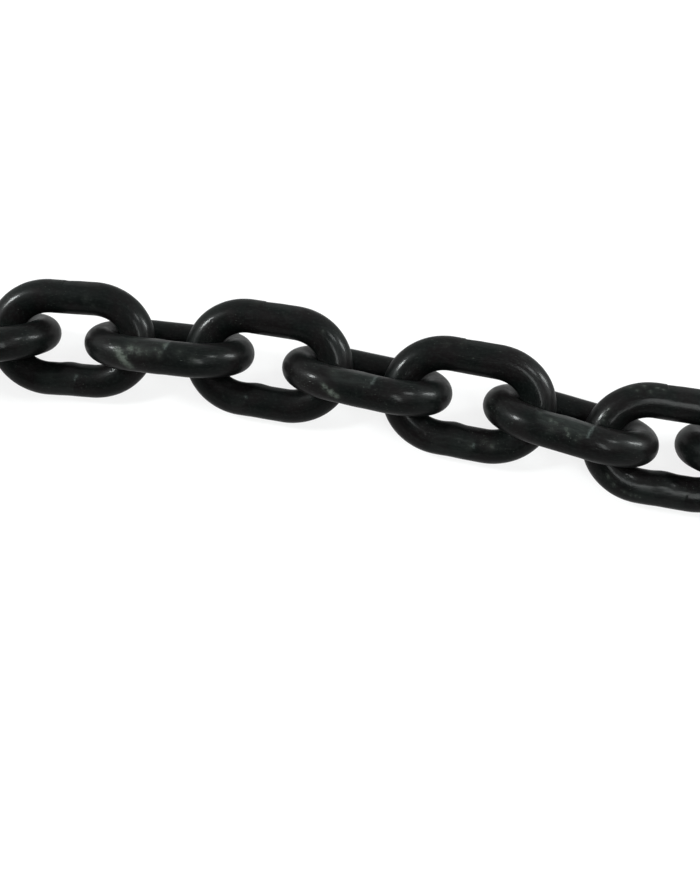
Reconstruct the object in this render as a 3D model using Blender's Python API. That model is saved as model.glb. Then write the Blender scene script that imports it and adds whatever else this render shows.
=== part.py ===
"""A one metre length of short-link welded steel chain, lying loose on a level floor.

Every link is a round bar bent to an oval loop and butt welded in one leg. The links lean
alternately to either side, each on one leg, as slack chain does when it is laid out by hand.
Lengths are in metres, angles in degrees, and +Z is up. The chain runs along +X.
"""

import math

import bpy
import numpy as np
from mathutils import Matrix, Vector

# The link: 13 mm bar, and an inner length of three bar diameters with the usual tolerance
BAR = 0.0130
INNER_LENGTH = 0.0399
INNER_WIDTH = 0.0191
CROWN_REACH = 0.0177
HALF_WIDTH = (INNER_WIDTH + BAR) / 2
HALF_LENGTH = (INNER_LENGTH + BAR) / 2
LEG_END = HALF_LENGTH - CROWN_REACH

# The weld in the middle of the lower leg swells the bar, mostly towards the opening
WELD_SWELL = 0.035
WELD_MIDDLE = -0.0013
WELD_CREST = 0.0022
WELD_REACH = 0.0048

# The bar's section is a polygon of the same area as the round bar
SECTION_SIDES = 12
SECTION_RADIUS = BAR / 2 * math.sqrt(math.pi * 2 / (SECTION_SIDES * math.sin(2 * math.pi / SECTION_SIDES)))
FACET_DISTANCE = SECTION_RADIUS * math.cos(math.pi / SECTION_SIDES)
CROWN_STEPS = 10

# How the links lie: all lean by one angle, alternately to either side, on a flat of the bar.
# The crown gap, between the round bars, leaves about 0.2 mm between their polygon sections.
LEAN = 41.0
CROWN_GAP = 0.00065
HEADINGS = (
    -2.0, -3.5, -5.5, -4.5, -7.0, -5.0, -5.5,
    -4.0, 4.9, 7.9, 11.0, 14.8, 12.7, 19.8, 11.0, 7.5, 8.0,
    10.0, 7.0, 6.5, 3.5, 3.0, 0.5, -0.5, -3.0,
)
# Where a link is not drawn tight against the one before it: extra play and sideways shift
PLAY = {8: 0.0004, 14: 0.0004, 15: 0.0050}
SHIFT = {15: 0.0024}

# Setting link against link: points on a crown and on a leg, and steps of the search
CROWN_SAMPLES = 60
LEG_SAMPLES = 20
SPACING_HALVINGS = 20

LACQUER_COLOUR = (0.012, 0.0125, 0.013, 1.0)
LACQUER_ROUGHNESS = 0.34
COLLECTION = "short_link_chain"


def clear_scene():
    """Removes whatever the file holds."""
    for item in list(bpy.data.objects):
        bpy.data.objects.remove(item, do_unlink=True)


def black_lacquer():
    """The semi-gloss black coating on the steel."""
    material = bpy.data.materials.new("black_lacquer")
    material.use_nodes = True
    shader = material.node_tree.nodes["Principled BSDF"]
    shader.inputs["Base Color"].default_value = LACQUER_COLOUR
    shader.inputs["Metallic"].default_value = 0.0
    shader.inputs["Roughness"].default_value = LACQUER_ROUGHNESS
    return material


def crown_points(side):
    """Centreline points of one rounded end, anticlockwise; side is 1 at +X and -1 at -X."""
    points = []
    for step in range(CROWN_STEPS + 1):
        angle = math.pi * (step / CROWN_STEPS - 0.5)
        x = LEG_END + CROWN_REACH * math.cos(angle)
        y = HALF_WIDTH * math.sin(angle)
        points.append((side * x, side * y, 1.0))
    return points


def weld_points():
    """Centreline points of the weld, along +X in the lower leg.

    The bar is moved inwards as it swells, so the flat that the link can lie on stays one plane.
    """
    swollen = 1.0 + WELD_SWELL
    inward = WELD_SWELL * FACET_DISTANCE / math.sin(math.radians(LEAN))
    low = -HALF_WIDTH
    return [
        (WELD_MIDDLE - WELD_REACH, low, 1.0),
        (WELD_MIDDLE - WELD_CREST, low + inward, swollen),
        (WELD_MIDDLE + WELD_CREST, low + inward, swollen),
        (WELD_MIDDLE + WELD_REACH, low, 1.0),
    ]


def link_curve(material):
    """The link's bar as a closed bevelled curve in its own XY plane."""
    curve = bpy.data.curves.new("link_bar", "CURVE")
    curve.dimensions = "3D"
    curve.twist_mode = "Z_UP"
    curve.bevel_depth = SECTION_RADIUS
    # A bevel of resolution r has 2 r + 4 sides
    curve.bevel_resolution = (SECTION_SIDES - 4) // 2
    curve.render_resolution_u = 0
    loop = crown_points(1) + crown_points(-1) + weld_points()
    spline = curve.splines.new("POLY")
    spline.points.add(len(loop) - 1)
    # Turns the section so that a flat faces the floor when the link leans
    facet = 360.0 / SECTION_SIDES
    turn = (90.0 - LEAN + facet / 2) % facet
    for point, (x, y, swell) in zip(spline.points, loop):
        point.co = (x, y, 0.0, 1.0)
        point.radius = swell
        point.tilt = math.radians(turn)
    spline.use_cyclic_u = True
    spline.use_smooth = True
    curve.materials.append(material)
    return curve


def centreline():
    """Closely spaced centreline points of a link in its own frame, for setting link against link."""
    angles = np.linspace(-math.pi / 2, math.pi / 2, CROWN_SAMPLES)
    crown = np.stack([LEG_END + CROWN_REACH * np.cos(angles), HALF_WIDTH * np.sin(angles)], axis=1)
    runs = np.linspace(LEG_END, -LEG_END, LEG_SAMPLES)[1:-1]
    leg = np.stack([runs, np.full(len(runs), HALF_WIDTH)], axis=1)
    flat = np.concatenate([crown, leg, -crown, -leg])
    return np.concatenate([flat, np.zeros((len(flat), 1))], axis=1)


def link_frame(index):
    """Rotation of a link: X along it, Y across it in its own plane, Z out of its plane."""
    heading = math.radians(HEADINGS[index])
    lean = math.radians(LEAN if index % 2 == 0 else -LEAN)
    along = Vector((math.cos(heading), -math.sin(heading), 0.0))
    side = Vector((math.sin(heading), math.cos(heading), 0.0))
    across = side * math.cos(lean) + Vector((0.0, 0.0, 1.0)) * math.sin(lean)
    normal = along.cross(across)
    return Matrix((along, across, normal)).transposed()


def nearest(line_a, line_b):
    """Least distance between two sets of points."""
    apart = line_a[:, None, :] - line_b[None, :, :]
    return float(np.sqrt((apart ** 2).sum(axis=2).min()))


def lay_out():
    """Centre and rotation of every link, each one drawn up against the one before it."""
    line = centreline()
    height = HALF_WIDTH * math.sin(math.radians(LEAN)) + FACET_DISTANCE
    places = [(Vector((0.0, 0.0, height)), link_frame(0))]
    for index in range(1, len(HEADINGS)):
        centre, frame = places[-1]
        turned = link_frame(index)
        before = line @ np.array(frame).T + np.array(centre)
        way = (frame.col[0] + turned.col[0]).normalized()
        sideways = Vector((0.0, 0.0, 1.0)).cross(frame.col[0])
        clear, touching = INNER_LENGTH - BAR, INNER_LENGTH
        # Halves in on the widest spacing that still leaves the crowns clear of each other
        for _ in range(SPACING_HALVINGS):
            spacing = (clear + touching) / 2
            here = line @ np.array(turned).T + np.array(centre + way * spacing)
            if nearest(before, here) < BAR + CROWN_GAP:
                touching = spacing
            else:
                clear = spacing
        step = way * (clear - PLAY.get(index, 0.0)) + sideways * SHIFT.get(index, 0.0)
        places.append((centre + step, turned))
    return places


def surface_points(link):
    """Vertices of the link's bevelled bar in its own frame."""
    bpy.context.view_layer.update()
    solid = link.evaluated_get(bpy.context.evaluated_depsgraph_get())
    mesh = solid.to_mesh()
    points = [vertex.co.copy() for vertex in mesh.vertices]
    solid.to_mesh_clear()
    return points


def main():
    """Builds the chain, centred over the world origin and standing on the floor."""
    clear_scene()
    group = bpy.data.collections.new(COLLECTION)
    bpy.context.scene.collection.children.link(group)
    curve = link_curve(black_lacquer())
    places = lay_out()

    links = []
    for number in range(1, len(places) + 1):
        link = bpy.data.objects.new(f"link_{number:02d}", curve)
        group.objects.link(link)
        links.append(link)

    outline = surface_points(links[0])
    spread = [centre + frame @ point for centre, frame in places for point in outline]
    middle = Vector([
        (min(point[axis] for point in spread) + max(point[axis] for point in spread)) / 2
        for axis in range(2)
    ] + [0.0])

    # The first link is the base. Each other one turns about the end bar of the link before it.
    for index, link in enumerate(links):
        centre, frame = places[index]
        placed = Matrix.Translation(centre - middle) @ frame.to_4x4()
        if index == 0:
            link.matrix_world = placed
            continue
        before, frame_before = places[index - 1]
        bar = before - middle + frame_before.col[0] * HALF_LENGTH
        pivot = bpy.data.objects.new(f"pivot_{index + 1:02d}", None)
        pivot.empty_display_size = BAR
        group.objects.link(pivot)
        pivot.matrix_world = Matrix.Translation(bar) @ frame_before.to_4x4()
        bpy.context.view_layer.update()
        link.parent = pivot
        link.matrix_world = placed
    bpy.context.view_layer.update()


main()
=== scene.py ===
"""A one metre length of black short-link chain, dressed for its picture.

Every link is made as a chain maker makes it: a straight round bar is bent to an oval loop and
closed, upset at the weld, clamped and trimmed flat beside it, and lacquered black. Each dressed
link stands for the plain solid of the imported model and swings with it.

Lengths are in metres. In a link's own frame X runs along the link, Y from the welded leg to the
plain one, and Z out of the link's face. Angles are in degrees, and the way that a spot on the bar
faces is counted round the bar from the link's face towards its outside.
"""

import logging
import math
from collections.abc import Callable, Iterator
from contextlib import contextmanager
from dataclasses import dataclass, field
from enum import Enum

import bpy
import numpy as np
from mathutils import Matrix, Vector


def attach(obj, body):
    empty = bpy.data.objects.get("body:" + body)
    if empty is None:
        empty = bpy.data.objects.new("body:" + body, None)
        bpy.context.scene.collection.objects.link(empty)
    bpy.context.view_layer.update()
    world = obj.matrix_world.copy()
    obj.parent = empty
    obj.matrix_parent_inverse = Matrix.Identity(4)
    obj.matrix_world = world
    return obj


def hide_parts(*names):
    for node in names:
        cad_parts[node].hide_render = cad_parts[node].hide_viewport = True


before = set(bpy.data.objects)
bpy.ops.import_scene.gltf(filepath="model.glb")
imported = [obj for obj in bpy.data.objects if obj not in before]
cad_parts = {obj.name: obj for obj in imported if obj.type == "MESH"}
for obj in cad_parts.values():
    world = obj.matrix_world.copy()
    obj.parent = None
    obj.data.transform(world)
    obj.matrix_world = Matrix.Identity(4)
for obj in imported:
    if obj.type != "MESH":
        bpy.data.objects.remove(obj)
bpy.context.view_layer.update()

MM = 0.001
log = logging.getLogger("chain")

Colour = tuple[float, float, float, float]
Entry = bpy.types.NodeSocket | float | tuple[float, ...]

WHITE: Colour = (1.0, 1.0, 1.0, 1.0)


class Leg(Enum):
    """A straight leg of a link, by the side of the link's own Y axis that it lies on."""

    WELDED = -1
    PLAIN = 1


class LinkMask(Enum):
    """What a link's mesh carries for the lacquer to read.

    GRAIN is each corner's place on the straight bar, so that patterns follow the bar round its
    bends. The others are how much there is of a thing at each vertex, where 1 is in full.
    """

    GRAIN = "grain_place"
    CHALK = "chalk"
    # The trimmed zone's mask also paints a reflection: the lit band on the bar's upward face.
    TRIMMED = "trimmed"
    # The rubbed mask also paints a highlight along the nick's step and a sheen on the inner crown tips.
    RUBBED = "rubbed"


class Sum(Enum):
    """A sum that a node can do, under the node's own word for it."""

    ADD = "ADD"
    MULTIPLY = "MULTIPLY"
    MAXIMUM = "MAXIMUM"
    ABSOLUTE = "ABSOLUTE"


@dataclass(frozen=True)
class LinkSizes:
    """The sizes of one link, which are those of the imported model.

    Attributes:
        bar: Thickness of the round bar.
        inner_length: Length of the link's opening.
        inner_width: Width of the link's opening.
        crown_reach: How far a crown's centreline reaches past the end of the straight legs.
    """

    bar: float = 13.0 * MM
    inner_length: float = 39.9 * MM
    inner_width: float = 19.1 * MM
    crown_reach: float = 17.7 * MM

    @property
    def radius(self) -> float:
        """Radius of the bar."""
        return self.bar / 2

    @property
    def half_width(self) -> float:
        """Distance from the link's middle to the centreline of a leg."""
        return (self.inner_width + self.bar) / 2

    @property
    def half_length(self) -> float:
        """Distance from the link's middle to the centreline of a crown."""
        return (self.inner_length + self.bar) / 2

    @property
    def leg_end(self) -> float:
        """Distance along X from the link's middle to where a crown starts."""
        return self.half_length - self.crown_reach

    def surface(self, leg: Leg, along: float, facing: float) -> np.ndarray:
        """Finds a spot on the bar's surface.

        Args:
            leg: The side of the link that it is on. Half of each crown belongs to either leg.
            along: How far along the link the bar's centreline is there.
            facing: Where the surface faces there.

        Returns:
            The spot, in the link's own frame.
        """
        past = min(max(abs(along) - self.leg_end, 0.0) / self.crown_reach, 1.0)
        aside = leg.value * math.sqrt(1.0 - past**2)
        centre = np.array([along, aside * self.half_width, 0.0])
        outward = np.array([math.copysign(past / self.crown_reach, along), aside / self.half_width, 0.0])
        outward /= np.linalg.norm(outward)
        turn = math.radians(facing)
        return centre + self.radius * (outward * math.sin(turn) + np.array([0.0, 0.0, math.cos(turn)]))


@dataclass(frozen=True)
class ToolPass:
    """How a tool bears on a leg, and so the flat that it leaves.

    Attributes:
        facing: Where the flat faces.
        depth: How deep the tool's plane stands in the round bar.
        spring: The share of the way in that the steel springs back, which softens the flat's edges.
        rise: How much less deep the tool bears along the link, as a share of the way from its start.
    """

    facing: float
    depth: float
    spring: float = 0.3
    rise: float = 0.0


# The trimming tool's passes over the welded leg, and the clamp's jaw and that jaw's edge on the
# plain leg. The edge leaves the notch that shows in the link's outline.
TRIMMING = (ToolPass(2.0, 0.45 * MM), ToolPass(40.0, 0.35 * MM), ToolPass(178.0, 0.45 * MM))
CLAMP_JAW = ToolPass(66.0, 0.45 * MM, spring=0.45)
CLAMP_EDGE = ToolPass(99.0, 0.34 * MM, spring=0.1, rise=0.045)


@dataclass(frozen=True)
class PressedFlat:
    """A shallow flat that a tool leaves on a straight leg.

    Attributes:
        leg: The leg that it is on.
        start: Where it starts along the link.
        end: Where it ends along the link.
        tool: How the tool bears on the leg.
        share: The share of its usual depth that the tool reaches here.
        slant: How far the flat's end moves back along the link, as a share of the way outwards.
    """

    leg: Leg
    start: float
    end: float
    tool: ToolPass
    share: float = 1.0
    slant: float = 0.0


@dataclass(frozen=True)
class Scuff:
    """A patch where something chalky has rubbed off on the lacquer.

    Attributes:
        along: How far along the link its middle is, in millimetres.
        facing: Where it faces.
        reach: How far it spreads, in millimetres.
        strength: How thick it is in its middle, where 1 covers nearly all of the lacquer.
    """

    along: float
    facing: float
    reach: float
    strength: float

    def spread_over(self, places: np.ndarray, leg: Leg, sizes: LinkSizes) -> np.ndarray:
        """Finds how thickly it lies at some places on the link.

        Args:
            places: The places, in the link's own frame.
            leg: The side of the link that it is on.
            sizes: The sizes of the link.

        Returns:
            The thickness at each place, which falls from the scuff's strength to nothing.
        """
        middle = sizes.surface(leg, self.along * MM, self.facing)
        apart = np.linalg.norm(places - middle, axis=1) / (self.reach * MM)
        return self.strength * np.exp(-(apart**2))


@dataclass(frozen=True)
class LinkMarks:
    """What making, handling and use leave on a link.

    Attributes:
        nick: Where the trimmed zone of the welded leg ends in a small step.
        scuffs: Its chalky patches, by the side of the link that they are on.
        trim: How plainly that zone and its painted reflection show, up to 1.
        nick_highlight_span: Between which two ways of facing that step is painted pale, as a painted
            highlight of the step's edge catching the light.
        shoulder: Where the plain leg steps down to the clamp's flats.
        weld_middle: Where the weld stands along the welded leg.
        swell: How much thicker the bar is at the weld, as a share of its radius.
        trim_start: Where the trimmed zone starts.
        nick_slant: How far the step moves back along the link, as a share of the way outwards.
        jaw_end: Where the flat of the clamp's jaw ends.
        edge_length: Length of the flat of that jaw's edge.
    """

    nick: float
    scuffs: dict[Leg, tuple[Scuff, ...]]
    trim: float = 1.0
    nick_highlight_span: tuple[float, float] = (0.0, 60.0)
    shoulder: float = -3.5 * MM
    weld_middle: float = -1.3 * MM
    swell: float = 0.028
    trim_start: float = -13.0 * MM
    nick_slant: float = 0.23
    jaw_end: float = 11.0 * MM
    edge_length: float = 7.5 * MM

    def flats(self) -> tuple[PressedFlat, ...]:
        """Lists the flats that the trimming and the clamp leave on the link.

        Returns:
            The flats, in the order in which they are pressed.
        """
        trimmed = [
            PressedFlat(Leg.WELDED, self.trim_start, self.nick, tool, self.trim, self.nick_slant)
            for tool in TRIMMING
        ]
        return (
            *trimmed,
            PressedFlat(Leg.PLAIN, self.shoulder, self.jaw_end, CLAMP_JAW),
            PressedFlat(Leg.PLAIN, self.shoulder, self.shoulder + self.edge_length, CLAMP_EDGE),
        )


def select_only(piece: bpy.types.Object) -> None:
    """Selects a piece, deselects all else and makes the piece the active one.

    Args:
        piece: The object to select.
    """
    bpy.ops.object.select_all(action="DESELECT")
    piece.select_set(True)
    bpy.context.view_layer.objects.active = piece


@contextmanager
def edit_mode(piece: bpy.types.Object) -> Iterator[None]:
    """Opens a piece in edit mode for a block, with nothing else selected.

    Args:
        piece: The mesh object to edit.

    Yields:
        Nothing, while the piece is open.
    """
    select_only(piece)
    bpy.ops.object.mode_set(mode="EDIT")
    try:
        yield
    finally:
        bpy.ops.object.mode_set(mode="OBJECT")


def choose_vertices(piece: bpy.types.Object, wanted: Callable[[Vector], bool]) -> None:
    """Selects the vertices of a piece that pass a test on their place, and nothing else.

    Args:
        piece: The mesh object, in edit mode.
        wanted: Says of a vertex's place whether it is selected.
    """
    bpy.ops.mesh.select_mode(type="VERT")
    bpy.ops.mesh.select_all(action="DESELECT")
    bpy.ops.object.mode_set(mode="OBJECT")
    for vertex in piece.data.vertices:
        vertex.select = wanted(vertex.co)
    bpy.ops.object.mode_set(mode="EDIT")


def choose_edges(piece: bpy.types.Object, wanted: Callable[[Vector, Vector], bool]) -> None:
    """Selects the edges of a piece that pass a test on their two ends, and nothing else.

    Args:
        piece: The mesh object, in edit mode.
        wanted: Says of an edge's two ends whether it is selected.
    """
    bpy.ops.mesh.select_mode(type="EDGE")
    bpy.ops.mesh.select_all(action="DESELECT")
    bpy.ops.object.mode_set(mode="OBJECT")
    places = [vertex.co for vertex in piece.data.vertices]
    for edge in piece.data.edges:
        edge.select = wanted(*(places[index] for index in edge.vertices))
    bpy.ops.object.mode_set(mode="EDIT")


def vertex_places(mesh: bpy.types.Mesh) -> np.ndarray:
    """Reads the places of a mesh's vertices.

    Args:
        mesh: The mesh.

    Returns:
        The places, one row each.
    """
    flat = np.zeros(len(mesh.vertices) * 3)
    mesh.vertices.foreach_get("co", flat)
    return flat.reshape(-1, 3)


@dataclass
class LinkForge:
    """Bends bar stock into links and marks each one.

    Attributes:
        sizes: The sizes of a link.
        bar_sides: Sides of the bar's round section.
        bar_rings: Rings of vertices along the bar.
        crown_points: Points of the two crowns' centreline together.
        leg_cuts: Cuts in each straight stretch of the centreline.
        join_gap: How near two vertices are where the bar's ends are joined.
        weld_crest: How far the weld's thickest stretch reaches to either side of its middle.
        weld_reach: How far the weld's swelling fades out on either side.
        weld_inward: How far the weld moves towards the opening, as a multiple of its swelling.
        lip: Length of the step at either end of a pressed flat.
        tolerance: How far past its ends a pressed flat still takes vertices along.
        dent_width: Size of the dents of hot-worked steel.
        dent_depth: Depth of those dents.
        bare: The unmarked link that all links are copied from, once it is bent.
    """

    sizes: LinkSizes
    bar_sides: int = 48
    bar_rings: int = 188
    crown_points: int = 240
    leg_cuts: int = 39
    join_gap: float = 0.05 * MM
    weld_crest: float = 0.65 * MM
    weld_reach: float = 5.0 * MM
    weld_inward: float = 1.5
    lip: float = 0.3 * MM
    tolerance: float = 0.03 * MM
    dent_width: float = 7.0 * MM
    dent_depth: float = 0.09 * MM
    bare: bpy.types.Object = field(init=False)

    def bend_line(self) -> bpy.types.Object:
        """Makes the oval that a link's centreline follows.

        Returns:
            A closed curve in the XY plane, with the welded leg at -Y.
        """
        sizes = self.sizes
        bpy.ops.mesh.primitive_circle_add(vertices=self.crown_points, radius=sizes.half_width)
        oval = bpy.context.object
        with edit_mode(oval):
            bpy.ops.mesh.select_all(action="SELECT")
            bpy.ops.transform.rotate(
                value=math.pi / self.crown_points, orient_axis="Z", center_override=(0, 0, 0)
            )
            stretch = sizes.crown_reach / sizes.half_width
            bpy.ops.transform.resize(value=(stretch, 1, 1), center_override=(0, 0, 0))
            for end in (1, -1):
                choose_vertices(oval, lambda place: place.x * end > 0)
                bpy.ops.transform.translate(value=(end * sizes.leg_end, 0, 0))
            choose_edges(oval, lambda a, b: abs(a.x - b.x) > sizes.leg_end)
            bpy.ops.mesh.subdivide(number_cuts=self.leg_cuts)
        bpy.ops.object.convert(target="CURVE")
        return bpy.context.object

    def straight_bar(self, length: float) -> bpy.types.Object:
        """Cuts a straight bar with enough rings to bend and to mark.

        Args:
            length: Length of the bar, which runs along +X from the origin.

        Returns:
            The open tube of the bar's surface.
        """
        bpy.ops.mesh.primitive_cylinder_add(
            vertices=self.bar_sides, radius=self.sizes.radius, depth=length,
            end_fill_type="NOTHING", rotation=(0, math.pi / 2, 0), location=(length / 2, 0, 0),
        )
        bar = bpy.context.object
        bpy.ops.object.transform_apply(location=True, rotation=True, scale=True)
        with edit_mode(bar):
            choose_edges(bar, lambda a, b: abs(a.x - b.x) > length / 2)
            bpy.ops.mesh.subdivide_edgering(number_cuts=self.bar_rings - 1, interpolation="LINEAR")
        corners = np.array([loop.vertex_index for loop in bar.data.loops])
        grain = bar.data.attributes.new(LinkMask.GRAIN.value, "FLOAT_VECTOR", "CORNER")
        grain.data.foreach_set("vector", vertex_places(bar.data)[corners].ravel())
        return bar

    def bend_bare_link(self) -> None:
        """Bends one bar round the oval and joins its ends, as the link that all are copied from."""
        oval = self.bend_line()
        points = np.array([point.co[:3] for point in oval.data.splines[0].points])
        length = float(np.linalg.norm(np.roll(points, -1, axis=0) - points, axis=1).sum())
        bar = self.straight_bar(length)
        bend = bar.modifiers.new("bend", "CURVE")
        bend.object = oval
        bend.deform_axis = "POS_X"
        bpy.ops.object.modifier_apply(modifier=bend.name)
        with edit_mode(bar):
            bpy.ops.mesh.select_all(action="SELECT")
            bpy.ops.mesh.remove_doubles(threshold=self.join_gap)
            bpy.ops.mesh.normals_make_consistent(inside=False)
        bpy.data.objects.remove(oval, do_unlink=True)
        self.bare = bar
        log.info("bare link: %d vertices, bar %.1f mm long", len(bar.data.vertices), length / MM)

    def copy(self, name: str) -> bpy.types.Object:
        """Copies the bare link, with a mesh of its own.

        Args:
            name: Name of the new link.

        Returns:
            The new link, in its own frame at the origin.
        """
        link = self.bare.copy()
        link.data = self.bare.data.copy()
        link.name = link.data.name = name
        bpy.context.scene.collection.objects.link(link)
        return link

    def upset_weld(self, link: bpy.types.Object, marks: LinkMarks) -> None:
        """Swells the bar at the weld, mostly towards the link's opening.

        Args:
            link: The link, in its own frame.
            marks: The marks of this link.
        """
        sizes = self.sizes
        inward = marks.swell * sizes.radius * self.weld_inward
        fade = {
            "use_proportional_edit": True,
            "proportional_edit_falloff": "SMOOTH",
            "proportional_size": self.weld_reach,
        }
        with edit_mode(link):
            choose_vertices(
                link, lambda place: place.y < 0 and abs(place.x - marks.weld_middle) < self.weld_crest
            )
            bpy.ops.transform.resize(
                value=(1, 1 + marks.swell, 1 + marks.swell),
                center_override=(marks.weld_middle, -sizes.half_width, 0), **fade,
            )
            bpy.ops.transform.translate(value=(0, inward, 0), **fade)

    def press_flat(self, link: bpy.types.Object, flat: PressedFlat) -> None:
        """Presses one flat into a leg, with a short step at each end of it.

        Args:
            link: The link, in its own frame.
            flat: The flat to press.
        """
        sizes = self.sizes
        tool = flat.tool
        side = flat.leg.value
        turn = math.radians(tool.facing)
        facing = Vector((-tool.rise, side * math.sin(turn), math.cos(turn))).normalized()
        middle = Vector((flat.start, side * sizes.half_width, 0))
        plane = middle + facing * (sizes.radius - tool.depth * flat.share)
        slant = side * flat.slant
        cuts = (
            (flat.start - self.lip, 0.0),
            (flat.start, 0.0),
            (flat.end, slant),
            (flat.end + self.lip, slant),
        )
        with edit_mode(link):
            for cut, slanted in cuts:
                choose_vertices(
                    link, lambda place: place.y * side > 0 and abs(place.x) < sizes.half_length
                )
                bpy.ops.mesh.bisect(plane_co=(cut, middle.y, 0), plane_no=(1, slanted, 0))
            choose_vertices(
                link,
                lambda place: flat.start - self.tolerance < place.x
                and place.x + slant * (place.y - middle.y) < flat.end + self.tolerance
                and place.y * side > 0
                and (place - plane).dot(facing) > 0,
            )
            across = facing.cross(Vector((1, 0, 0))).normalized()
            axes = Matrix((across.cross(facing), across, facing)).transposed()
            bpy.ops.transform.resize(
                value=(1, 1, tool.spring), orient_type="GLOBAL", orient_matrix=axes,
                orient_matrix_type="GLOBAL", constraint_axis=(False, False, True),
                center_override=plane,
            )

    def hammer(self, link: bpy.types.Object) -> None:
        """Gives a placed link the faint unevenness of hot-worked steel, different on every link.

        Args:
            link: The link, in its place in the chain.
        """
        pattern = bpy.data.textures.new("hammering", "CLOUDS")
        pattern.noise_scale = self.dent_width
        pattern.noise_depth = 1
        dents = link.modifiers.new("hammering", "DISPLACE")
        dents.texture = pattern
        dents.strength = self.dent_depth
        dents.mid_level = 0.5
        select_only(link)
        bpy.ops.object.modifier_apply(modifier=dents.name)
        bpy.data.textures.remove(pattern)


def link_frame(node: bpy.types.Object) -> Matrix:
    """Finds a link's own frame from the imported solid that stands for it.

    The solid's surface is longest along the link and thinnest out of its face, so the main axes
    of its spread are the link's own. They point to +X, +Y and, as it follows, out of the face.

    Args:
        node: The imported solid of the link.

    Returns:
        The matrix that takes the link's own frame to the chain's.
    """
    mesh = node.data
    mesh.calc_loop_triangles()
    places = vertex_places(mesh)
    corners = places[np.array([triangle.vertices for triangle in mesh.loop_triangles])]
    areas = np.linalg.norm(
        np.cross(corners[:, 1] - corners[:, 0], corners[:, 2] - corners[:, 0]), axis=1
    )
    middles = corners.mean(axis=1)
    centre = (middles * areas[:, None]).sum(axis=0) / areas.sum()
    spread = (middles - centre) * np.sqrt(areas)[:, None]
    along, across = np.linalg.svd(spread, full_matrices=False)[2][:2]
    along *= np.sign(along[0])
    across *= np.sign(across[1])
    face = np.cross(along, across)
    axes = Matrix((Vector(along), Vector(across), Vector(face))).transposed()
    return Matrix.Translation(Vector(centre)) @ axes.to_4x4()


class NodeBench:
    """Adds and joins the nodes of one tree, such as a material's or the world's."""

    def __init__(self, tree: bpy.types.NodeTree) -> None:
        """Takes the tree to work on."""
        self.tree = tree

    def node(self, kind: str, **settings: object) -> bpy.types.Node:
        """Adds a node.

        Args:
            kind: The node's type.
            settings: What is set on it, by name.

        Returns:
            The node.
        """
        node = self.tree.nodes.new(kind)
        for name, value in settings.items():
            setattr(node, name, value)
        return node

    def feed(self, socket: bpy.types.NodeSocket, entry: Entry) -> None:
        """Gives a socket what it reads.

        Args:
            socket: The socket.
            entry: Another socket to join to it, or its own value.
        """
        if isinstance(entry, bpy.types.NodeSocket):
            self.tree.links.new(entry, socket)
        else:
            socket.default_value = entry

    def feed_all(self, node: bpy.types.Node, entries: dict[str, Entry]) -> None:
        """Gives several sockets of a node what they read.

        Args:
            node: The node.
            entries: Another socket or a value for each input, by the input's name.
        """
        for name, entry in entries.items():
            self.feed(node.inputs[name], entry)

    def sums(
        self, kind: Sum, first: Entry, second: Entry = 0.0, clamp: bool = False
    ) -> bpy.types.NodeSocket:
        """Does a sum with two numbers.

        Args:
            kind: Which sum it is.
            first: The first number.
            second: The second number, which an absolute value leaves unread.
            clamp: Whether the result is kept from 0 to 1.

        Returns:
            The result.
        """
        node = self.node("ShaderNodeMath", operation=kind.value, use_clamp=clamp)
        self.feed(node.inputs[0], first)
        self.feed(node.inputs[1], second)
        return node.outputs[0]

    def rise(
        self, value: Entry, start: float, end: float, least: float = 0.0, most: float = 1.0
    ) -> bpy.types.NodeSocket:
        """Turns a number into a smooth step from one value to another.

        Args:
            value: The number.
            start: Where the step starts.
            end: Where it ends.
            least: The value before it.
            most: The value after it.

        Returns:
            The step.
        """
        node = self.node("ShaderNodeMapRange", interpolation_type="SMOOTHSTEP")
        limits = {"From Min": start, "From Max": end, "To Min": least, "To Max": most}
        self.feed_all(node, {"Value": value} | limits)
        return node.outputs["Result"]


@dataclass(frozen=True)
class Clouds:
    """A cloudy pattern that follows the bar.

    Attributes:
        scale: How many clouds there are to a millimetre.
        detail: How many finer layers they have.
        roughness: How strong those layers are.
        along: How closely the clouds repeat along the bar.
        across: How closely they repeat across it.
    """

    scale: float
    detail: float = 2.0
    roughness: float = 0.5
    along: float = 1.0
    across: float = 1.0


@dataclass(frozen=True)
class Patches:
    """Patches of something, where clouds are dense.

    Attributes:
        clouds: The clouds.
        edge: How dense the clouds are where a patch starts.
        heart: How dense they are where it is full.
        least: How much of the thing there is between the patches.
        most: How much of it there is in them.
    """

    clouds: Clouds
    edge: float
    heart: float
    least: float = 0.0
    most: float = 1.0


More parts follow.
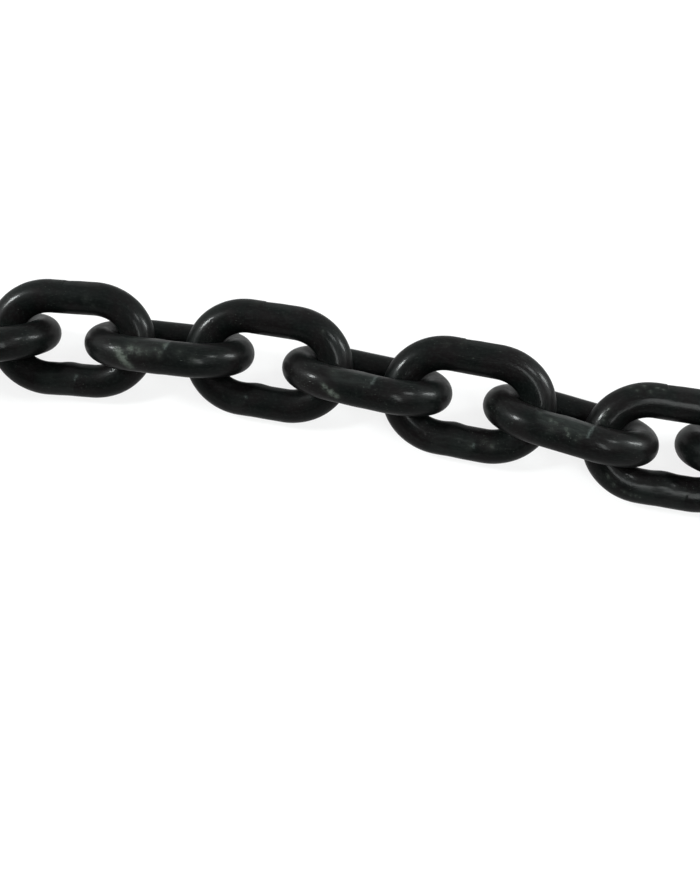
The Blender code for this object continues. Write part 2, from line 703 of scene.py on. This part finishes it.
class ShaderBench(NodeBench):
    """Adds and joins the nodes of a new material round its principled shader."""

    # The colour sockets of a mixing node, whose names its other kinds of socket share
    MIX_FIRST = 6
    MIX_SECOND = 7
    MIX_RESULT = 2

    def __init__(self, name: str) -> None:
        """Starts a material.

        Args:
            name: The material's name.
        """
        self.material = bpy.data.materials.new(name)
        self.material.use_nodes = True
        super().__init__(self.material.node_tree)
        self.shader = self.tree.nodes["Principled BSDF"]

    def mask(self, mask: LinkMask) -> bpy.types.NodeSocket:
        """Reads one of the numbers that a link's vertices carry."""
        return self.node("ShaderNodeAttribute", attribute_name=mask.value).outputs["Fac"]

    def grain(self, along: float = 1.0, across: float = 1.0) -> bpy.types.NodeSocket:
        """Reads the place on the straight bar in millimetres, for patterns to lie on.

        Args:
            along: How closely the pattern repeats along the bar.
            across: How closely it repeats across it.

        Returns:
            The place, scaled.
        """
        place = self.node("ShaderNodeAttribute", attribute_name=LinkMask.GRAIN.value)
        mapping = self.node("ShaderNodeMapping")
        scale = (along / MM, across / MM, across / MM)
        self.feed_all(mapping, {"Vector": place.outputs["Vector"], "Scale": scale})
        return mapping.outputs["Vector"]

    def clouds(self, clouds: Clouds) -> bpy.types.NodeSocket:
        """Adds a cloudy pattern.

        Args:
            clouds: The pattern.

        Returns:
            How dense it is, from 0 to 1.
        """
        noise = self.node("ShaderNodeTexNoise")
        entries = {"Vector": self.grain(clouds.along, clouds.across), "Scale": clouds.scale}
        self.feed_all(noise, entries | {"Detail": clouds.detail, "Roughness": clouds.roughness})
        return noise.outputs["Fac"]

    def patches(self, patches: Patches) -> bpy.types.NodeSocket:
        """Adds patches of something.

        Args:
            patches: The patches.

        Returns:
            How much there is of it.
        """
        dense = self.clouds(patches.clouds)
        return self.rise(dense, patches.edge, patches.heart, patches.least, patches.most)

    def blend(self, share: Entry, first: Entry, second: Entry) -> bpy.types.NodeSocket:
        """Mixes two colours.

        Args:
            share: How much there is of the second, from 0 to 1.
            first: The first colour.
            second: The second colour.

        Returns:
            The mixed colour.
        """
        node = self.node("ShaderNodeMix", data_type="RGBA")
        self.feed(node.inputs["Factor"], share)
        self.feed(node.inputs[self.MIX_FIRST], first)
        self.feed(node.inputs[self.MIX_SECOND], second)
        return node.outputs[self.MIX_RESULT]


@dataclass(frozen=True)
class BlackLacquer:
    """The satin black coating of the chain, with its tints, dust, chalky scuffs and orange peel, and
    some painted sheen and highlights.

    Heights and depths are in millimetres.

    Attributes:
        name: Name of the material.
        cool: Its tint where it is cool.
        warm: Its tint where it is warm.
        dust_and_sheen: Its colour under dust, and on the trimmed zone beside the weld, where it is also
            a painted reflection on the bar's upward face.
        rubbed: Its colour where an edge has been rubbed, also used for the painted highlight at the nick
            and the painted sheen of the inner crown tips.
        chalk: Colour of what has rubbed off on it.
        tints: Where it is warm.
        dust: Where dust lies on it.
        streaks: How plainly the trimmed zone, with its painted reflection, shows in streaks along the
            bar.
        wear_and_highlight: How plainly a rubbed edge and the painted highlight at the nick show, in
            patches.
        crumbs: The crumbs that thick chalk breaks up into.
        crumb_weight: How much the crumbs count beside the thickness of the chalk.
        crumb_edge: At what thickness and crumbs together chalk starts to cover.
        crumb_heart: At what thickness and crumbs together it covers all.
        film: How far the thinnest chalk covers.
        specks: The pale specks that lie about on the chain.
        clusters: Where those specks gather.
        satin: Roughness of its broad sheen.
        chalk_dulls: How much chalk adds to that roughness.
        sheen_level: Strength of the broad sheen, as the specular level.
        gloss: Strength of its sharper gloss.
        gloss_roughness: Roughness of the sharper gloss.
        peel: Pattern of the orange peel.
        peel_height: Height of the orange peel.
        grit: Pattern of the fine grit.
        grit_height: Height of the fine grit.
        scale: Pattern of the rolled scale's streaks under the coating.
        scale_height: Height of those streaks.
        pit_cells: How many cells, each with a small pit in its middle, there are to a millimetre.
        pit_floor: How far a pit's floor reaches from its middle, as a share of a cell.
        pit_rim: How far its rim is from its middle, as a share of a cell.
        pit_depth: Depth of the pits.
        chalk_height: Thickness of full chalk.
    """

    name: str = "satin_black_lacquer"
    cool: Colour = (0.0011, 0.0015, 0.0014, 1.0)
    warm: Colour = (0.0018, 0.0014, 0.0015, 1.0)
    dust_and_sheen: Colour = (0.0068, 0.0080, 0.0074, 1.0)
    rubbed: Colour = (0.0240, 0.0285, 0.0270, 1.0)
    chalk: Colour = (0.0345, 0.0395, 0.0340, 1.0)
    tints: Patches = Patches(Clouds(0.10, detail=3.0), 0.36, 0.64)
    dust: Patches = Patches(Clouds(1.4, detail=4.0, roughness=0.7, along=0.6), 0.46, 0.76, most=0.50)
    streaks: Patches = Patches(Clouds(1.1, detail=4.0, along=0.25), 0.30, 0.70, least=0.35)
    wear_and_highlight: Patches = Patches(Clouds(1.4, detail=5.0, roughness=0.7), 0.36, 0.60, least=0.15)
    crumbs: Clouds = Clouds(1.2, detail=7.0, roughness=0.80, along=0.8, across=1.2)
    crumb_weight: float = 1.6
    crumb_edge: float = 1.15
    crumb_heart: float = 2.00
    film: float = 0.14
    specks: Patches = Patches(Clouds(2.3, detail=1.0, along=0.7), 0.67, 0.78, most=0.55)
    clusters: Patches = Patches(Clouds(0.12), 0.40, 0.65)
    satin: Patches = Patches(Clouds(0.30, detail=4.0), 0.25, 0.75, least=0.33, most=0.47)
    chalk_dulls: float = 0.4
    sheen_level: float = 0.027
    gloss: float = 0.055
    gloss_roughness: float = 0.115
    peel: Clouds = Clouds(0.42, along=0.55)
    peel_height: float = 0.038
    grit: Clouds = Clouds(1.9, detail=3.0, roughness=0.65)
    grit_height: float = 0.022
    scale: Clouds = Clouds(1.2, detail=3.0, roughness=0.6, along=0.10)
    scale_height: float = 0.024
    pit_cells: float = 0.16
    pit_floor: float = 0.05
    pit_rim: float = 0.11
    pit_depth: float = 0.040
    chalk_height: float = 0.044

    def chalk_cover(self, bench: ShaderBench) -> bpy.types.NodeSocket:
        """Finds how far chalk covers the lacquer: as a thin film with crumbs, and as loose specks.

        Args:
            bench: The material's nodes.

        Returns:
            The cover, from 0 to 1.
        """
        crumbs = bench.sums(Sum.MULTIPLY, bench.clouds(self.crumbs), self.crumb_weight)
        loose = bench.sums(Sum.ADD, bench.mask(LinkMask.CHALK), crumbs)
        thick = bench.rise(loose, self.crumb_edge, self.crumb_heart)
        film = bench.sums(Sum.MULTIPLY, bench.mask(LinkMask.CHALK), self.film)
        cover = bench.sums(Sum.ADD, film, thick, clamp=True)
        specks = bench.sums(Sum.MULTIPLY, bench.patches(self.specks), bench.patches(self.clusters))
        return bench.sums(Sum.MAXIMUM, cover, specks)

    def colour(self, bench: ShaderBench, chalk: bpy.types.NodeSocket) -> bpy.types.NodeSocket:
        """Lays tints, dust, the trimmed zone with its painted reflection, rubbed edges with their
        painted highlight and sheen, and chalk over one another.

        Args:
            bench: The material's nodes.
            chalk: How far chalk covers the lacquer.

        Returns:
            The colour of the surface.
        """
        # Painted reflection: the trimmed zone is lightened only on the bar's upward face, up to where
        # its lit band ends. The trimmed surface itself is real.
        trimmed = bench.sums(Sum.MULTIPLY, bench.mask(LinkMask.TRIMMED), bench.patches(self.streaks))
        # Painted highlight along the nick's step and painted sheen on the inner crown tips, laid with
        # real rubbing where links bear.
        rubbed = bench.sums(Sum.MULTIPLY, bench.mask(LinkMask.RUBBED), bench.patches(self.wear_and_highlight))
        colour = bench.blend(bench.patches(self.tints), self.cool, self.warm)
        for share, over in (
            (bench.patches(self.dust), self.dust_and_sheen),
            (trimmed, self.dust_and_sheen),
            (rubbed, self.rubbed),
            (chalk, self.chalk),
        ):
            colour = bench.blend(share, colour, over)
        return colour

    def height(self, bench: ShaderBench, chalk: bpy.types.NodeSocket) -> bpy.types.NodeSocket:
        """Adds up the relief of the surface.

        Args:
            bench: The material's nodes.
            chalk: How far chalk covers the lacquer.

        Returns:
            The height.
        """
        cells = bench.node("ShaderNodeTexVoronoi", feature="F1")
        bench.feed_all(cells, {"Vector": bench.grain(), "Scale": self.pit_cells})
        away = cells.outputs["Distance"]
        height = bench.rise(away, self.pit_floor, self.pit_rim, -self.pit_depth, 0.0)
        for pattern, tallest in (
            (bench.clouds(self.peel), self.peel_height),
            (bench.clouds(self.grit), self.grit_height),
            (bench.clouds(self.scale), self.scale_height),
            (chalk, self.chalk_height),
        ):
            height = bench.sums(Sum.ADD, height, bench.sums(Sum.MULTIPLY, pattern, tallest))
        return height

    def material(self) -> bpy.types.Material:
        """Makes the coating's material.

        Returns:
            The material.
        """
        bench = ShaderBench(self.name)
        chalk = self.chalk_cover(bench)
        dulled = bench.sums(Sum.MULTIPLY, chalk, self.chalk_dulls)
        bump = bench.node("ShaderNodeBump")
        bench.feed_all(bump, {"Distance": MM, "Height": self.height(bench, chalk)})
        bench.feed_all(bench.shader, {
            "Base Color": self.colour(bench, chalk),
            "Roughness": bench.sums(Sum.ADD, bench.patches(self.satin), dulled, clamp=True),
            "Specular IOR Level": self.sheen_level,
            "Coat Weight": self.gloss,
            "Coat Roughness": self.gloss_roughness,
            "Normal": bump.outputs["Normal"],
            "Coat Normal": bump.outputs["Normal"],
        })
        return bench.material


@dataclass
class ChainLink:
    """One dressed link of the chain.

    Attributes:
        number: Its number, from 1 at the -X end.
        marks: What its making and use left on it.
        trim_fade: How far along the link the trimmed zone takes to show fully.
        trim_sheen_facing: Ways of facing where that zone starts, is full, starts to fade and ends; its
            end follows the lit band's edge, a painted reflection.
        nick_highlight_reach: How far the pale line at the nick, a painted highlight, spreads.
        seat_wear_and_sheen: How pale a crown is in the middle of where the next link bears on it, from
            rubbing and from painted sheen.
        seat_reach: How far that rubbing spreads.
        grain_step: How far apart two links lie in the lacquer's patterns.
    """

    number: int
    marks: LinkMarks
    trim_fade: float = 4.0 * MM
    trim_sheen_facing: tuple[float, float, float, float] = (-40.0, -20.0, 58.0, 70.0)
    nick_highlight_reach: float = 0.5 * MM
    seat_wear_and_sheen: float = 0.6
    seat_reach: float = 4.0 * MM
    grain_step: tuple[float, float, float] = (0.1873, 0.0417, 0.0559)

    @property
    def node(self) -> str:
        """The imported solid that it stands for, and the body that it rides on."""
        return f"link_{self.number:02d}"

    def round_welded_leg(self, places: np.ndarray, sizes: LinkSizes) -> tuple[np.ndarray, np.ndarray]:
        """Tells where each vertex is about the welded leg.

        Args:
            places: The vertices' places in the link's own frame.
            sizes: The sizes of the link.

        Returns:
            How far each is past the nick along the link, and where it faces.
        """
        outward = -(places[:, 1] + sizes.half_width)
        past_nick = places[:, 0] + self.marks.nick_slant * outward - self.marks.nick
        return past_nick, np.degrees(np.arctan2(outward, places[:, 2]))

    def trimmed_zone_and_sheen(self, places: np.ndarray, sizes: LinkSizes) -> np.ndarray:
        """Finds how far each vertex lies in the trimmed zone, which ends sharply at the nick, and in the
        painted reflection of the lit band on the bar's upward face.

        Args:
            places: The vertices' places in the link's own frame.
            sizes: The sizes of the link.

        Returns:
            A number from 0 to 1 for each vertex.
        """
        past_nick, facing = self.round_welded_leg(places, sizes)
        start, full, fading, end = self.trim_sheen_facing
        along = np.clip((places[:, 0] - self.marks.trim_start) / self.trim_fade, 0, 1) * (past_nick <= 0)
        # The facing limits keep the zone to the bar's upward face and end it where its lit band ends: a
        # painted reflection.
        around = np.clip((end - facing) / (end - fading), 0, 1)
        around *= np.clip((facing - start) / (full - start), 0, 1)
        return self.marks.trim * along * around * (places[:, 1] < 0)

    def nick_highlight_and_seat_wear(self, places: np.ndarray, sizes: LinkSizes) -> np.ndarray:
        """Finds how pale each vertex is painted: a painted highlight along the nick's step, and rubbing
        with painted sheen where the next link bears.

        Args:
            places: The vertices' places in the link's own frame.
            sizes: The sizes of the link.

        Returns:
            A number from 0 to 1 for each vertex.
        """
        past_nick, facing = self.round_welded_leg(places, sizes)
        # Painted highlight: a pale line along the nick's step, only where the step faces the light.
        low, high = self.marks.nick_highlight_span
        line = np.exp(-((past_nick / self.nick_highlight_reach) ** 2))
        line *= (places[:, 1] < 0) & (facing > low) & (facing < high)
        # Rubbing where the next link bears, which also paints the sheen of the pale inner crown tips.
        seat = np.array([sizes.inner_length / 2, 0, 0])
        apart = np.minimum(
            np.linalg.norm(places - seat, axis=1), np.linalg.norm(places + seat, axis=1)
        )
        return np.maximum(line, self.seat_wear_and_sheen * np.exp(-((apart / self.seat_reach) ** 2)))

    def carry_masks(self, link: bpy.types.Object, sizes: LinkSizes) -> None:
        """Writes onto the link's mesh what the lacquer reads there.

        Args:
            link: The link, in its own frame.
            sizes: The sizes of the link.
        """
        places = vertex_places(link.data)
        chalk = np.zeros(len(places))
        for leg, scuffs in self.marks.scuffs.items():
            for scuff in scuffs:
                chalk = np.maximum(chalk, scuff.spread_over(places, leg, sizes))
        carried = link.data.attributes[LinkMask.GRAIN.value]
        grain = np.zeros(len(carried.data) * 3)
        carried.data.foreach_get("vector", grain)
        grain = grain.reshape(-1, 3) + self.number * np.array(self.grain_step)
        carried.data.foreach_set("vector", grain.ravel())
        for mask, values in (
            (LinkMask.CHALK, chalk),
            (LinkMask.TRIMMED, self.trimmed_zone_and_sheen(places, sizes)),
            (LinkMask.RUBBED, self.nick_highlight_and_seat_wear(places, sizes)),
        ):
            carried = link.data.attributes.new(mask.value, "FLOAT", "POINT")
            carried.data.foreach_set("value", values)

    def build(self, forge: LinkForge, coating: bpy.types.Material) -> bpy.types.Object:
        """Copies, marks, coats and places the link.

        Args:
            forge: Where it is made.
            coating: Its material.

        Returns:
            The finished piece, with its place in its mesh.
        """
        link = forge.copy(f"welded_{self.node}")
        forge.upset_weld(link, self.marks)
        for flat in self.marks.flats():
            forge.press_flat(link, flat)
        self.carry_masks(link, forge.sizes)
        link.data.transform(link_frame(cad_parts[self.node]))
        forge.hammer(link)
        link.data.shade_smooth()
        link.data.materials.clear()
        link.data.materials.append(coating)
        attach(link, self.node)
        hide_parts(self.node)
        return link


# The marks of the links that show, from link_08 to link_15. The others repeat them.
FIRST_MARKED = 8
MARKS = (
    LinkMarks(
        nick=5.0 * MM,
        scuffs={Leg.WELDED: (Scuff(-9, 45, 2.0, 0.6), Scuff(4, 10, 1.6, 0.5))},
    ),
    LinkMarks(
        nick=3.4 * MM, trim=0.4, nick_highlight_span=(-30.0, -8.0), shoulder=-2.8 * MM, weld_middle=-0.2 * MM,
        scuffs={
            Leg.WELDED: (Scuff(-6, -15, 1.2, 0.4),),
            Leg.PLAIN: (Scuff(7, 0, 1.4, 0.4), Scuff(10, -20, 1.2, 0.4)),
        },
    ),
    LinkMarks(
        nick=4.5 * MM, trim=0.6, nick_highlight_span=(15.0, 45.0),
        scuffs={
            Leg.WELDED: (
                Scuff(-13, 70, 2.2, 0.8), Scuff(-12, 80, 2.5, 0.95), Scuff(-11, 95, 2.4, 1.05),
                Scuff(-10, 110, 2.2, 1.0), Scuff(-9, 125, 2.0, 0.95), Scuff(-9, 60, 2.8, 0.75),
                Scuff(-6, 65, 2.8, 0.65), Scuff(-3, 65, 2.4, 0.5), Scuff(0, 50, 1.2, 0.65),
                Scuff(2, 60, 1.2, 0.7), Scuff(3, 30, 1.3, 0.8), Scuff(2, 75, 1.1, 0.6),
                Scuff(9, 50, 2.0, 0.45), Scuff(13, 75, 2.2, 0.5),
            ),
        },
    ),
    LinkMarks(
        nick=-6.0 * MM, trim=0.3, nick_highlight_span=(-22.0, -10.0), shoulder=-3.8 * MM, weld_middle=-2.4 * MM,
        scuffs={Leg.PLAIN: (Scuff(19, 20, 0.8, 0.75), Scuff(-7, 60, 1.6, 0.4))},
    ),
    LinkMarks(
        nick=5.8 * MM, trim=0.6, nick_highlight_span=(0.0, 50.0),
        scuffs={
            Leg.WELDED: (
                Scuff(-12, 80, 1.2, 0.6), Scuff(-11, 90, 1.5, 0.85), Scuff(-9, 105, 1.9, 1.0),
                Scuff(-7, 115, 1.8, 0.9), Scuff(-4, -20, 1.4, 0.6), Scuff(0, 0, 1.4, 0.5),
                Scuff(-10, 30, 2.0, 0.45),
            ),
        },
    ),
    LinkMarks(
        nick=5.0 * MM, trim=0.4, nick_highlight_span=(-10.0, 5.0), shoulder=-4.8 * MM, weld_middle=-3.1 * MM,
        swell=0.034,
        scuffs={
            Leg.WELDED: (Scuff(9, -25, 2.2, 0.5), Scuff(12, -10, 2.4, 0.55), Scuff(4, 0, 2.0, 0.45)),
            Leg.PLAIN: (Scuff(15, 50, 1.0, 0.5), Scuff(-11, 35, 1.4, 0.4), Scuff(-6, 45, 1.2, 0.4)),
        },
    ),
    LinkMarks(
        nick=8.0 * MM,
        scuffs={
            Leg.WELDED: (
                Scuff(-11, 25, 1.2, 0.6), Scuff(-7, 40, 1.2, 0.8), Scuff(-5, 45, 1.0, 0.8),
                Scuff(-6, 70, 1.6, 0.5), Scuff(-1, 55, 1.0, 0.8), Scuff(0, 70, 1.1, 0.85),
                Scuff(3, 80, 1.2, 0.55), Scuff(4, 65, 1.2, 0.6),
            ),
        },
    ),
    LinkMarks(
        nick=6.8 * MM, trim=0.3, nick_highlight_span=(0.0, 0.0), shoulder=-6.3 * MM, weld_middle=-1.4 * MM,
        scuffs={
            Leg.WELDED: (
                Scuff(-21, 15, 0.9, 0.75), Scuff(-20, 18, 0.9, 0.7), Scuff(-18, 24, 0.9, 0.75),
                Scuff(-14, 28, 0.9, 0.75), Scuff(-12, 27, 0.9, 0.75), Scuff(-10.5, 27, 0.9, 0.7),
                Scuff(-9, 27, 0.9, 0.65),
            ),
            Leg.PLAIN: (
                Scuff(-17, 65, 1.4, 0.55), Scuff(-15.5, 45, 1.2, 0.6), Scuff(-13.5, 60, 1.3, 0.7),
                Scuff(-12, 35, 1.2, 0.65), Scuff(-10, 50, 1.3, 0.65), Scuff(-8, 45, 1.2, 0.6),
                Scuff(-23.5, 30, 0.8, 0.8), Scuff(-24.5, 25, 0.8, 0.85), Scuff(-25.3, 20, 0.8, 0.75),
            ),
        },
    ),
)


@dataclass(frozen=True)
class StudioFloor:
    """The plain pale floor that the chain lies on, which glows faintly as a light table does.

    Attributes:
        size: Length of its sides.
        drop: How far it lies below the chain's own floor, so that no dressed link cuts it.
        colour: Its colour.
        matt: Its roughness.
        glow: How bright it glows.
    """

    size: float = 60.0
    drop: float = 0.15 * MM
    colour: Colour = (0.085, 0.085, 0.085, 1.0)
    matt: float = 0.9
    glow: float = 0.82

    def build(self) -> bpy.types.Object:
        """Lays the floor.

        Returns:
            The floor.
        """
        bpy.ops.mesh.primitive_plane_add(size=self.size, location=(0, 0, -self.drop))
        floor = bpy.context.object
        floor.name = "studio_floor"
        bench = ShaderBench("pale_floor")
        bench.feed_all(bench.shader, {
            "Base Color": self.colour,
            "Roughness": self.matt,
            "Specular IOR Level": 0.0,
            "Emission Color": WHITE,
            "Emission Strength": self.glow,
        })
        floor.data.materials.append(bench.material)
        return floor


@dataclass(frozen=True)
class PictureCamera:
    """The camera, at the photograph's place and angle.

    Attributes:
        place: Where it stands.
        elevation: How steeply it looks down.
        focal_pixels: Its focal length, in pixels of the picture.
        long_side: The picture's long side, in pixels.
        sensor: Width of its sensor, in millimetres.
        near: The nearest that it sees.
    """

    place: tuple[float, float, float] = (-0.04128, -0.20114, 0.33755)
    elevation: float = 58.37
    focal_pixels: float = 1023.6
    long_side: float = 869.0
    sensor: float = 36.0
    near: float = 10.0 * MM

    def build(self) -> bpy.types.Object:
        """Sets the camera up and makes it the scene's.

        Returns:
            The camera.
        """
        bpy.ops.object.camera_add(
            location=self.place, rotation=(math.radians(90 - self.elevation), 0, 0)
        )
        camera = bpy.context.object
        camera.name = "picture_camera"
        camera.data.sensor_width = self.sensor
        camera.data.lens = self.sensor * self.focal_pixels / self.long_side
        camera.data.clip_start = self.near
        bpy.context.scene.camera = camera
        return camera


@dataclass(frozen=True)
class Softbox:
    """A soft area light, turned to the middle of the chain.

    Attributes:
        name: What it is called.
        place: Where it stands.
        width: Its size across.
        height: Its size the other way.
        radiance: How bright its face is.
        colour: Its colour.
    """

    name: str
    place: tuple[float, float, float]
    width: float
    height: float
    radiance: float
    colour: tuple[float, float, float] = (0.95, 1.0, 0.99)

    def build(self) -> bpy.types.Object:
        """Hangs the light.

        Returns:
            The light.
        """
        bpy.ops.object.light_add(type="AREA", location=self.place)
        light = bpy.context.object
        light.name = self.name
        light.data.color = self.colour
        light.data.shape = "RECTANGLE"
        light.data.size = self.width
        light.data.size_y = self.height
        light.data.energy = math.pi * self.radiance * self.width * self.height
        light.rotation_euler = (-Vector(self.place)).to_track_quat("-Z", "Y").to_euler()
        return light


SOFTBOXES = (
    Softbox("left_softbox", (-1.25, 0.05, 0.85), 0.8, 0.6, 3.0),
    Softbox("left_lamp", (-1.15, 0.03, 0.99), 0.24, 0.24, 235.0),
    Softbox("right_softbox", (1.28, 0.15, 0.62), 0.8, 0.9, 3.0),
    Softbox("right_lamp", (1.15, 0.28, 0.57), 0.22, 0.42, 78.0),
    Softbox("overhead_softbox", (0.52, -0.60, 1.05), 0.7, 0.6, 3.0),
    Softbox("high_lamp", (0.62, 0.0, 1.0), 0.22, 0.22, 44.0),
    Softbox("front_panel", (0.17, -0.64, 0.75), 0.15, 0.55, 27.0),
)


@dataclass(frozen=True)
class StudioRoom:
    """The room's own light: pale walls at the sides and behind, and dim towards the camera.

    Places in the room are told as directions: how far a step of length 1 towards them, from the
    chain, goes along X or Y.

    Attributes:
        front: Radiance towards the camera's side.
        back: Radiance behind the chain.
        front_edge: Where the front starts to get brighter, along Y.
        back_edge: Where the back is fully bright, along Y.
        sides: What the two side walls add to that.
        side_edge: Where a side wall starts, along X to either side.
        side_full: Where it is fully bright, along X to either side.
        backdrop: Radiance of the room where the camera sees it.
        colour: Its colour.
    """

    front: float = 0.25
    back: float = 1.25
    front_edge: float = -0.8
    back_edge: float = 0.7
    sides: float = 1.1
    side_edge: float = 0.45
    side_full: float = 0.95
    backdrop: float = 0.92
    colour: Colour = (0.95, 1.0, 0.99, 1.0)

    def brightness(self, bench: NodeBench) -> bpy.types.NodeSocket:
        """Finds how bright the room is, seen from the chain.

        Args:
            bench: The world's nodes.

        Returns:
            The radiance in each direction.
        """
        look = bench.node("ShaderNodeSeparateXYZ")
        bench.feed(look.inputs["Vector"], bench.node("ShaderNodeTexCoord").outputs["Generated"])
        sideways = bench.sums(Sum.ABSOLUTE, look.outputs["X"])
        depth = bench.rise(look.outputs["Y"], self.front_edge, self.back_edge, self.front, self.back)
        walls = bench.rise(sideways, self.side_edge, self.side_full, 0.0, self.sides)
        return bench.sums(Sum.ADD, depth, walls)

    def build(self) -> bpy.types.World:
        """Lights the room.

        Returns:
            The world.
        """
        world = bpy.data.worlds.new("studio_room")
        world.use_nodes = True
        bench = NodeBench(world.node_tree)
        room = bench.tree.nodes["Background"]
        bench.feed_all(room, {"Strength": self.brightness(bench), "Color": self.colour})
        seen = bench.node("ShaderNodeBackground")
        bench.feed_all(seen, {"Strength": self.backdrop, "Color": WHITE})
        either = bench.node("ShaderNodeMixShader")
        bench.feed(either.inputs["Fac"], bench.node("ShaderNodeLightPath").outputs["Is Camera Ray"])
        for socket, background in zip(list(either.inputs)[1:], (room, seen)):
            bench.feed(socket, background.outputs["Background"])
        bench.feed(bench.tree.nodes["World Output"].inputs["Surface"], either.outputs["Shader"])
        bpy.context.scene.world = world
        return world


def main() -> None:
    """Builds the chain, its floor, the camera and the lights."""
    logging.basicConfig(level=logging.INFO, format="%(name)s: %(message)s")
    bpy.context.scene.view_settings.view_transform = "Standard"
    forge = LinkForge(LinkSizes())
    forge.bend_bare_link()
    coating = BlackLacquer().material()
    for number in range(1, len(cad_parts) + 1):
        marks = MARKS[(number - FIRST_MARKED) % len(MARKS)]
        link = ChainLink(number, marks).build(forge, coating)
        log.info("%s: %d vertices", link.name, len(link.data.vertices))
    bpy.data.objects.remove(forge.bare, do_unlink=True)
    for fitting in (StudioFloor(), PictureCamera(), *SOFTBOXES, StudioRoom()):
        log.info("%s: set up", fitting.build().name)


if __name__ == "__main__":
    main()
